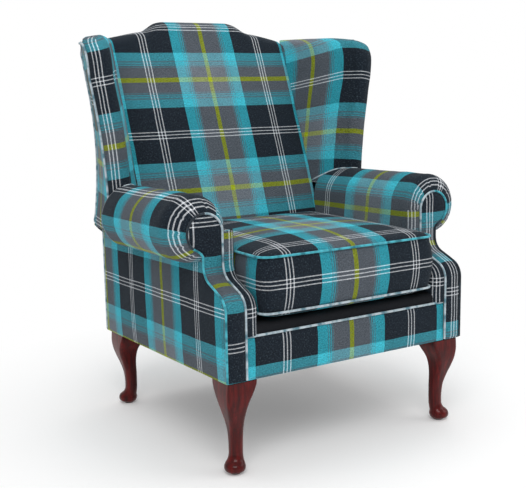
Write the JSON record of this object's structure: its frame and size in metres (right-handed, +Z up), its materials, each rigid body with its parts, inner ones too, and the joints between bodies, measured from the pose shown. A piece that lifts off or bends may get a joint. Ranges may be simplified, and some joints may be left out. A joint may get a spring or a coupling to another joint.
{
  "type": "wing armchair",
  "caption": "Upholstered high-back wing armchair with scroll arms, camel-back top, loose seat cushion and cabriole legs.",
  "frame": {"origin": "on the floor, at the centre of the chair's bounding box seen from above", "axes": "+Z up, -Y towards the front of the seat, +X towards the arm on the right of the front view"},
  "size_m": [0.8932, 0.8315, 1.0599],
  "materials": {
    "plaid": "woven wool tartan",
    "piping": "woven wool, cut on the bias",
    "dark_cloth": "plain cotton cloth",
    "webbing": "jute",
    "foam": "upholstery foam",
    "frame_wood": "sawn beech",
    "leg_wood": "mahogany stain, gloss",
    "steel": "plain",
    "glide_plastic": "satin"
  },
  "bodies": {
    "chair": {"arm_foam_left": "foam", "arm_foam_right": "foam", "arm_rail_left": "frame_wood", "arm_rail_right": "frame_wood", "arm_stump_left": "frame_wood", "arm_stump_right": "frame_wood", "arm_tack_rail_left": "frame_wood", "arm_tack_rail_right": "frame_wood", "back_foam": "foam", "back_post_left": "frame_wood", "back_post_right": "frame_wood", "back_rail": "frame_wood", "back_webbing": "webbing", "corner_blocks": "frame_wood", "deck_pad": "foam", "dust_cover": "dark_cloth", "facing_piping_left": "piping", "facing_piping_right": "piping", "front_border": "plaid", "front_border_piping": "piping", "front_rail": "frame_wood", "inside_arm_cover_left": "plaid", "inside_arm_cover_right": "plaid", "inside_back_cover": "plaid", "inside_wing_cover_left": "plaid", "inside_wing_cover_right": "plaid", "leg_bolts": "steel", "leg_front_left": "leg_wood", "leg_front_right": "leg_wood", "leg_glides": "glide_plastic", "leg_rear_left": "leg_wood", "leg_rear_right": "leg_wood", "lower_back_rail": "frame_wood", "outside_arm_panel_left": "plaid", "outside_arm_panel_right": "plaid", "outside_back": "plaid", "outside_back_piping": "piping", "outside_wing_foot_left": "plaid", "outside_wing_foot_right": "plaid", "outside_wing_panel_left": "plaid", "outside_wing_panel_right": "plaid", "platform_cloth": "dark_cloth", "scroll_facing_left": "plaid", "scroll_facing_right": "plaid", "seat_webbing": "webbing", "side_rail_left": "frame_wood", "side_rail_right": "frame_wood", "spring_canvas": "webbing", "top_rail": "frame_wood", "wing_frame_left": "frame_wood", "wing_frame_right": "frame_wood", "wing_piping_left": "piping", "wing_piping_right": "piping"},
    "seat_cushion": {"cushion_cover": "plaid", "cushion_foam": "foam", "cushion_piping_top": "piping", "cushion_piping_bottom": "piping"}
  },
  "joints": [
    {"name": "cushion_lift_out", "type": "slide", "parent": "chair", "child": "seat_cushion", "axis": [0, -0.9397, 0.3419], "range_m": [0, 0.75]}
  ]
}
